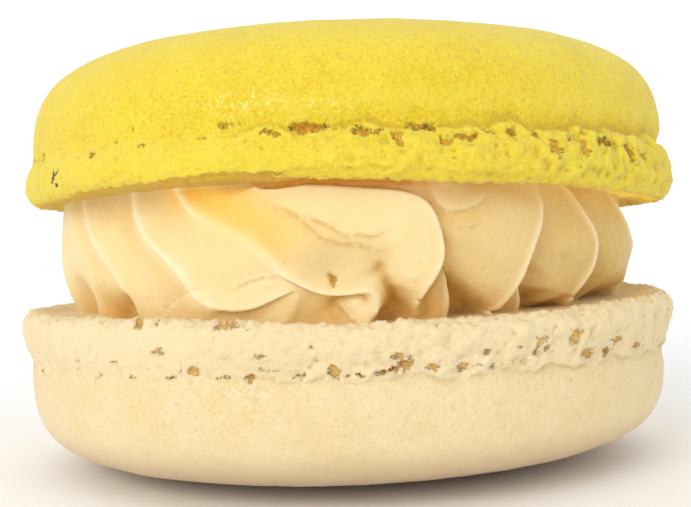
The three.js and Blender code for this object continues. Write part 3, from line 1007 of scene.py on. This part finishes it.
def smooth_line(points, steps=7):
    """A smooth curve through points, run on past both ends."""
    ahead = 2 * points[0] - points[1]
    beyond = 2 * points[-1] - points[-2]
    padded = np.vstack((ahead, points, beyond))
    curve = [padded[:1]]
    for a, b, c, d in zip(padded, padded[1:], padded[2:], padded[3:]):
        t = np.linspace(0, 1, steps, endpoint=False)[:, None]
        bend, twist = 2 * a - 5 * b + 4 * c - d, 3 * b - a - 3 * c + d
        curve.append(0.5 * (2 * b + (c - a) * t + bend * t**2 + twist * t**3))
    curve.append(padded[-2:])
    return np.vstack(curve)


def line_distance(degrees, share, line):
    """Signed distance in mm of points from a line (positive on its right), how far along it they
    are from 0 to 1, and the unit vector that points to its right."""
    across, up = degrees * ARC, share * TALL
    line_x, line_y = line[:, 0] * ARC, line[:, 1] * TALL
    best = np.full(len(across), 1e9)
    signed, along, right_x, right_y = np.zeros((4, len(across)))
    for k in range(len(line_x) - 1):
        step_x, step_y = line_x[k + 1] - line_x[k], line_y[k + 1] - line_y[k]
        size = step_x * step_x + step_y * step_y
        t = ((across - line_x[k]) * step_x + (up - line_y[k]) * step_y) / size
        t = np.clip(t, 0, 1)
        away_x, away_y = across - line_x[k] - t * step_x, up - line_y[k] - t * step_y
        distance = np.hypot(away_x, away_y)
        closer = distance < best
        side = np.where(away_x * step_y - away_y * step_x >= 0, 1.0, -1.0)
        best = np.where(closer, distance, best)
        signed = np.where(closer, side * distance, signed)
        along = np.where(closer, (k + t) / (len(line_x) - 1), along)
        right_x = np.where(closer, step_y / size**0.5, right_x)
        right_y = np.where(closer, -step_x / size**0.5, right_y)
    return signed, along, right_x, right_y


def eased(along, values):
    """The numbers given at the stations of a ridge, joined by a smooth curve."""
    places = np.linspace(-0.1, 1.1, 121)
    line = np.interp(places, STATIONS, values)
    for _ in range(3):
        line = np.convolve(np.pad(line, 5, mode="edge"), np.ones(11) / 11, "valid")
    return np.interp(along, places, line)


def ridge_section(ridge, distance, along, share, furrow):
    """What a ridge gives the points near it: the distance from its rolled edge, how much of the
    ridge there is, from 0 to 1, its reach, and how far its edge rolls over to the steep side."""
    left = np.interp(along, ridge.get("left_stations", STATIONS), ridge["left"])
    right = np.interp(along, STATIONS, ridge["right"])
    steep = np.where(left < right, -1.0, 1.0)
    roll = 0.4 * rise(np.minimum(left, right), 1.6, 0.6) * rise(np.maximum(left, right), 1.2, 2.4)
    inner = distance + steep * roll
    on_left = inner < 0
    width = np.where(on_left, left, right)
    fullness = np.where(width > 2, 2.8, 2.0)
    fall = np.where(on_left, np.interp(along, HEEL_STATIONS, ridge["heel"]), 2.0)
    form = (1 - np.clip(np.abs(inner) / width, 0, 1) ** fullness) ** fall
    lip = ridge["lip"] * rise(share, 0.02, 0.25)
    edge = eased(along, ridge["reach"])
    reach = furrow + (edge - lip - furrow) * form + lip * bell(inner, 0.34)
    return inner, form, reach, roll * form**1.5 * bell(inner, 1.7) * steep


def cream_form(turn, share):
    """What all ridges together give each point: its reach, its shift sideways and up, its distance
    from an edge, how crisp it stays, and how much painted highlight it gets along an edge and how much
    painted shade beside one."""
    furrow = np.full(len(turn), DEEPEST)
    parts = []
    for ridge in cream_ridges():
        path = np.array(ridge["path"], float)
        middle = path[:, 0].mean()
        offset = (turn - middle + 180) % 360 - 180 + middle
        near = np.flatnonzero(np.abs(offset - middle) < 50)
        measured = line_distance(offset[near], share[near], smooth_line(path))
        parts.append((ridge, near, *measured))
        if ridge["furrow"]:
            beside = near[measured[0] > 0]
            furrow[beside] = np.interp(share[beside], FURROW_SHARES, ridge["furrow"])
    blended = ("shift_x", "shift_y", "streak", "crisp", "bright")
    empty = {name: np.zeros(len(turn)) for name in (*blended, "crisp_toes", "lee")}
    wall = SimpleNamespace(reach=furrow.copy(), **empty)
    for ridge, near, distance, along, right_x, right_y in parts:
        inner, form, reach, roll = ridge_section(ridge, distance, along, share[near], furrow[near])
        # The ridge that reaches further out covers the other, with a soft join where it is full
        soft = 0.45 * rise(form, 0, 0.2)
        rest = reach - wall.reach[near]
        cover = np.clip(0.5 + 0.5 * rest / np.maximum(soft, 1e-6), 0, 1)
        wall.reach[near] += rest * cover + soft * cover * (1 - cover)
        # Painted highlight along the edge
        line = np.interp(along, BRIGHT_STATIONS, ridge["bright"]) * bell(inner, 0.36)
        values = (roll * cover * right_x, roll * cover * right_y, distance, bell(inner, 0.8), line)
        for name, value in zip(blended, values):
            kept = getattr(wall, name)
            kept[near] += (value - kept[near]) * cover
        if "left_stations" in ridge:  # such a ridge ends in a toe, whose line stays crisp
            toe = 0.7 * rise(along, 0.32, 0.2) * rise(distance, 0, -0.3) * rise(distance, -7, -5)
            wall.crisp_toes[near] = np.maximum(wall.crisp_toes[near], toe)
        # Painted shade on one side of the edge
        side, most = ridge["lee"]
        dull = rise(side * distance, 0.2, 0.8) * bell(np.maximum(side * distance - 0.8, 0), 1.1)
        wall.lee[near] = np.maximum(wall.lee[near], most * dull * rise(along, 0.48, 0.62))
    wall.crisp = np.maximum(wall.crisp, wall.crisp_toes)
    return wall


def blur(grid, across, upwards):
    """A grid of numbers evened out round the ring and then up it, in so many small steps."""
    for _ in range(across):
        grid = grid / 2 + (np.roll(grid, 1, axis=1) + np.roll(grid, -1, axis=1)) / 4
    for _ in range(upwards):
        padded = np.vstack((grid[:1], grid, grid[-1:]))
        grid = grid / 2 + (padded[:-2] + padded[2:]) / 4
    return grid


def soften(values, crisp, turn, height):
    """Evens out numbers kept on the wall's rings, except where they belong to a crisp edge."""
    order = np.lexsort(((turn + 180.05) % 360, np.round(height, 3)))
    grid = values[order].reshape(-1, CREAM_COLUMNS)
    keep = crisp[order].reshape(-1, CREAM_COLUMNS)
    light = blur(grid, 4, 8)
    even = blur(light, 16, 37)
    edges = light + (grid - light) * rise(keep, 0.7, 1)
    result = np.empty(len(values))
    result[order] = (even + (edges - even) * keep).ravel()
    return result


def fold_relief(turn, share):
    """How far the folds stand out at each point, how near it lies to a crease, and how much painted
    shade it gets in the band below one."""
    total, crease, below = np.zeros((3, len(turn)))
    for points, step, fade, dark, band in FOLDS:
        signed, along, _, _ = line_distance(turn, share, smooth_line(np.array(points, float), 3))
        up = -signed
        ends = rise(along, 0, 0.25) * rise(along, 1, 0.75)
        total += step * ends * rise(up, -0.25, 0.25) * np.clip(1 - up / fade, 0, 1) ** 2
        # Painted shade along each crease and in a band below it
        crease = np.maximum(crease, dark * ends * bell(up + 0.04, 0.085))
        dull = band * ends * rise(-up, -0.1, 0.2) * bell(np.maximum(-up, 0), 0.7)
        below = np.maximum(below, dull)
    return total, crease, below


def pipe(piece, sizes, upper, lower):
    """Draws the plain ring out into ridges. Their paths cross the rings, so the extrude and resize
    tools can't give them, and each vertex is moved by its place instead."""
    x, y, z = points_of(piece).T
    turn = np.degrees(np.arctan2(x, -y))
    from_axis = np.hypot(x, y)
    base, gap = lower.height / MM, sizes.gap / MM
    share = (z - base) / gap
    wall = cream_form(turn, np.clip(share, 0, 1))
    outer = from_axis > 19.9
    reach = wall.reach
    reach[outer] = soften(reach[outer], wall.crisp[outer], turn[outer], z[outer])
    folds, crease, below = fold_relief(turn, share)
    nicks = [(at, up * TALL, wide, tall, deep) for at, up, wide, tall, deep in NICKS]
    depth, nick = opening_depths(np.radians(turn), share * TALL, nicks, 5, CREAM_REACH)
    reach = reach + folds - depth

    outward = rise(from_axis, 10, 19)
    new_turn = np.radians(turn + wall.shift_x / ARC)
    degrees = np.degrees(new_turn)
    radius = reach * outward + (1 - outward) * from_axis
    across = radius * np.sin(new_turn)
    dip = front_dip(new_turn, radius, LOWER_FORM["front_dip"])
    floor = base - sunk(degrees, radius, LOWER_SUNK) + across * tan(lower.foot_lean) - dip
    ceiling = base + gap + sunk(degrees, radius, UPPER_SUNK) + across * tan(upper.foot_lean)
    cut = look_up(degrees, UPPER_CUT) * rise(share, 0.72, 1) * rise(radius, 16, 18)
    shift_up = wall.shift_y * outward * rise(share, 0, 0.1) * rise(share, 1, 0.9)
    level = floor + (ceiling - floor) * share + cut + shift_up
    moved = np.column_stack((across + sizes.offset / MM, -radius * np.cos(new_turn), level))
    piece.data.vertices.foreach_set("co", (moved * MM).astype(np.float32).ravel())
    piece.data.update()
    apply_modifier(piece, "soft edges", "SMOOTH", factor=0.5, iterations=2)

    # Painted yellow light reflected from the upper shell, along a line between two ridges
    signed, along, _, _ = line_distance(turn, share, np.array(PAINTED_BOUNCE_LINE))
    # Painted shade on the side away from the key light
    dusk = 0.6 * rise(turn, 12, 20) + 0.4 * rise(turn, 32, 44)
    # Painted shade in the gap above the tongue and under the upper shell's rim
    painted_gap_shade = rise(share, 0.955, 0.985) * rise(turn, -17, -9) * rise(turn, 15, 9)
    painted_under_rim_shade = 0.14 * rise(share, 0.86, 1) * np.clip((21.0 - reach) / 1.2, 0, 1)
    keep_values(piece, {
        # How deep each point lies between the ridges; the material paints shade by it
        "furrow": np.clip((FULL_REACH - reach) / 5, 0, 1),
        "warmth": np.interp(along, (0, 0.5, 1), (1, 0.8, 0.2)) * bell(signed, 1.15),
        "dusk": dusk * rise(turn, 100, 80) * (1 - np.minimum(1, 2.2 * wall.bright)),
        "bright": wall.bright,
        "dull": np.maximum(wall.lee, below),
        "crease": crease,
        # The material paints shade in the nicks
        "nick": rise(nick, 0.42, 0.62),
        # Painted shade on a patch of the tongue
        "cool": bell(turn + 5, 5.5) * bell(share - 0.47, 0.13),
        "gap": np.maximum(painted_gap_shade, painted_under_rim_shade),
        "streak": wall.streak,
        "share": share,
        "hollow": hollows(piece, 8),
        "broad_hollow": hollows(piece, 50),
    })


def buttercream(sizes):
    """Piped buttercream: soft butter and sugar, smoothed by the nozzle. It gives the eye a satin
    gloss, light that passes a little way in, and faint streaks along each ridge."""
    material, tree, shader, place = start_material("piped vanilla buttercream")
    # Painted highlight on crests and along the edges
    painted_crest_highlight = {0: amount(tree, "hollow", 0.3, -0.012, -0.11), 1: amount(tree, "bright", 0.6)}
    surface = lay(tree, sizes.cream, (
        # Warm patches of about 3 mm, painted reflected yellow light, and painted shade between the
        # ridges
        (WARM_CREAM, (place, 300, 2), 0.5, 0.4, 0.7),
        ("#FFC232", "warmth", 0.95),
        ("#DCA84C", "furrow", 0.75, 0.03, 0.36),
        (sizes.shade, "furrow", 0.9, 0.26, 0.8),
        # Painted shade away from the light, beside edges and folds, along creases and on a tongue patch
        ("#D9BA72", "dusk", 0.9),
        ("#DDB45A", "dull", 0.8),
        ("#B28840", (place, 2600, 3), amount(tree, "crease"), 0.3, 0.54),
        ("#CDB986", "cool", 0.6),
        # Painted shade in hollows, gap, under the rim and in nicks; a painted highlight on crests and
        # edges
        ("#DAAA54", "broad_hollow", 0.7, 0.02, 0.3),
        ("#C09244", "hollow", 0.5, 0.01, 0.1),
        ("#FFF0CC", add(tree, "ShaderNodeMath", "Value", painted_crest_highlight, operation="ADD")),
        ("#C98535", "gap"),
        ("#BC8E3C", "nick"),
        (WARM_CREAM, (place, 2400, 3), 0.3, 0.5, 0.7),
    ))
    # Streaks of about 0.35 mm that follow the ridges, over a grain of about 0.3 mm
    dragged = {"X": amount(tree, "streak", 2.8), "Y": amount(tree, "share", 2.0)}
    drag = add(tree, "ShaderNodeCombineXYZ", "Vector", dragged)
    reliefs = (
        (0.28, 0.00025, amount(tree, (drag, 1.0, 3))),
        (0.5, 0.00012, amount(tree, (place, 2600, 3))),
    )
    # Painted light given off in the gap above the tongue and along the painted reflected yellow light
    painted_cream_glow = {0: amount(tree, "gap", 0.2), 1: amount(tree, "warmth", 0.14)}
    finish_shader(tree, shader, reliefs, {
        "Base Color": surface,
        "Emission Strength": add(tree, "ShaderNodeMath", "Value", painted_cream_glow, operation="ADD"),
        "Emission Color": (*linear("#F2BC30"), 1),
        "Roughness": 0.48,
        "IOR": 1.46,
        "Specular IOR Level": 0.35,
        "Subsurface Weight": 0.22,
        "Subsurface Radius": (1.0, 0.6, 0.3),
        "Subsurface Scale": 0.0008,
    })
    return material


class MACARON_OT_buttercream(bpy.types.Operator):
    """Pipe the ring of buttercream between the shells"""

    bl_idname = "macaron.buttercream"
    bl_label = "Piped buttercream"

    def execute(self, context):
        sizes = context.scene.macaron_cream
        upper, lower = context.scene.macaron_upper, context.scene.macaron_lower
        height = sizes.gap + 2 * sizes.embedded
        low = lower.height - sizes.embedded
        rows, columns = CREAM_ROWS // 2**ROUNDS, CREAM_COLUMNS // 2**ROUNDS
        rings = [(20 * MM, low + height * i / rows, 0) for i in range(rows + 1)]
        piece = turn_rings("piped_buttercream", columns, rings)
        close_ends()
        select_only(piece)
        finer = {"subdivision_type": "SIMPLE", "levels": ROUNDS, "render_levels": ROUNDS}
        apply_modifier(piece, "finer rings", "SUBSURF", **finer)
        pipe(piece, sizes, upper, lower)
        roughen(piece, "uneven cream", np.ones(len(piece.data.vertices)), "CLOUDS", 2.6, 0.22)
        finish_piece(piece, buttercream(sizes), "filling")
        return {"FINISHED"}


# ---- Stage ---------------------------------------------------------------------------------------

# Lamps: name, place, what it is aimed at, size in metres, power in watts and colour
LAMPS = (
    ("key softbox", (-0.3, -0.5, 0.26), (0, 0, 0.015), 0.32, 1.35, "#FFFDF9"),
    ("backdrop softbox", (0, 0.3, 0.55), (0, 1.1, 0.15), 0.5, 0.9, "#FFFFFF"),
    ("fill softbox", (0.42, -0.36, 0.14), (0, 0, 0.015), 0.4, 0.1, "#FAFDFF"),
)


class StageSettings(bpy.types.PropertyGroup):
    """The floor, the light and the camera."""

    camera_distance: length("Camera distance", "From the camera to the macaron's axis", 80)
    camera_height: length("Camera height", "Above the floor", 15)
    camera_roll: angle("Camera roll", "Turn of the camera about its line of sight", 1.68)
    floor: colour("Floor", "Colour of the floor and the backdrop", "#FFFFFF")


def select_back_edge(sweep):
    """Selects the edge of the floor at its back, in edit mode."""
    bpy.ops.mesh.select_all(action="DESELECT")
    mesh = bmesh.from_edit_mesh(sweep.data)
    for edge in mesh.edges:
        edge.select = all(v.co.y > 0.7 and v.co.z < 0.01 for v in edge.verts)
    mesh.select_flush(True)
    bmesh.update_edit_mesh(sweep.data)


def white_card(settings):
    """Matt white card. It gives the eye an even, bright ground with no gloss."""
    material, tree, shader, place = start_material("matt white card")
    tone = lay(tree, settings.floor, (("#F8F8F6", (place, 400, 2), 0.15, 0.3, 0.7),))
    finish_shader(tree, shader, (), {"Base Color": tone, "Roughness": 0.95})
    return material


class MACARON_OT_stage(bpy.types.Operator):
    """Set up the floor, the soft light and the camera"""

    bl_idname = "macaron.stage"
    bl_label = "Studio stage"

    def execute(self, context):
        settings = context.scene.macaron_stage
        self.floor(settings)
        self.lights(context)
        self.camera(context, settings)
        return {"FINISHED"}

    @staticmethod
    def floor(settings):
        """A pale sweep: the floor runs back and turns up into the backdrop."""
        bpy.ops.object.select_all(action="DESELECT")
        bpy.ops.mesh.primitive_plane_add(size=1.6, location=(0, 0, 0))
        sweep = bpy.context.object
        sweep.name = "pale_sweep"
        bpy.ops.object.mode_set(mode="EDIT")
        select_back_edge(sweep)
        bpy.ops.mesh.extrude_region_move(TRANSFORM_OT_translate={"value": (0, 0, 1.0)})
        select_back_edge(sweep)
        bpy.ops.mesh.bevel(offset=0.4, segments=16, affect="EDGES")
        bpy.ops.object.mode_set(mode="OBJECT")
        bpy.ops.object.shade_smooth()
        sweep.data.materials.append(white_card(settings))

    @staticmethod
    def lights(context):
        """A large soft key from the upper left in front, a fill from the right and an even sky."""
        for name, place, target, size, power, tint in LAMPS:
            bpy.ops.object.light_add(type="AREA", location=place)
            lamp = bpy.context.object
            lamp.name = name
            lamp.data.size = size
            lamp.data.energy = power
            lamp.data.color = linear(tint)
            aim = Vector(target) - Vector(place)
            lamp.rotation_euler = aim.to_track_quat("-Z", "Y").to_euler()
        world = bpy.data.worlds.new("even white sky")
        world.use_nodes = True
        background = world.node_tree.nodes["Background"]
        background.inputs["Color"].default_value = (*linear("#FFFFFF"), 1)
        background.inputs["Strength"].default_value = 0.85
        context.scene.world = world
        context.scene.view_settings.view_transform = "Standard"

    @staticmethod
    def camera(context, settings):
        """The camera stands level and a little turned about its line of sight."""
        bpy.ops.object.camera_add(
            location=(0, -settings.camera_distance, settings.camera_height),
            rotation=(radians(90), settings.camera_roll, 0),
        )
        camera = bpy.context.object
        camera.name = "front camera"
        camera.data.lens = 53.84
        camera.data.sensor_width = 36
        camera.data.clip_start = 0.005
        context.scene.camera = camera


# ---- Panel and registration ----------------------------------------------------------------------


class MACARON_PT_panel(bpy.types.Panel):
    """Sizes, colours and steps of the macaron"""

    bl_idname = "MACARON_PT_panel"
    bl_label = "Filled macaron"
    bl_space_type = "VIEW_3D"
    bl_region_type = "UI"
    bl_category = "Macaron"

    def draw(self, context):
        for title, group, _ in GROUPS:
            box = self.layout.box()
            box.label(text=title)
            settings = getattr(context.scene, group)
            for name in settings.__annotations__:
                box.prop(settings, name)
        for operator in OPERATORS:
            self.layout.operator(operator.bl_idname)


GROUPS = (
    ("Upper shell", "macaron_upper", UpperShellSizes),
    ("Lower shell", "macaron_lower", LowerShellSizes),
    ("Buttercream", "macaron_cream", CreamSizes),
    ("Stage", "macaron_stage", StageSettings),
)
OPERATORS = (MACARON_OT_shells, MACARON_OT_buttercream, MACARON_OT_stage)
CLASSES = (*(group for _, _, group in GROUPS), *OPERATORS, MACARON_PT_panel)


def register():
    for one in CLASSES:
        bpy.utils.register_class(one)
    for _, name, group in GROUPS:
        setattr(bpy.types.Scene, name, PointerProperty(type=group))


def unregister():
    for _, name, _ in GROUPS:
        delattr(bpy.types.Scene, name)
    for one in reversed(CLASSES):
        bpy.utils.unregister_class(one)


def main():
    """Builds the macaron and its stage."""
    register()
    bpy.ops.macaron.shells()
    bpy.ops.macaron.buttercream()
    bpy.ops.macaron.stage()


if __name__ == "__main__":
    main()
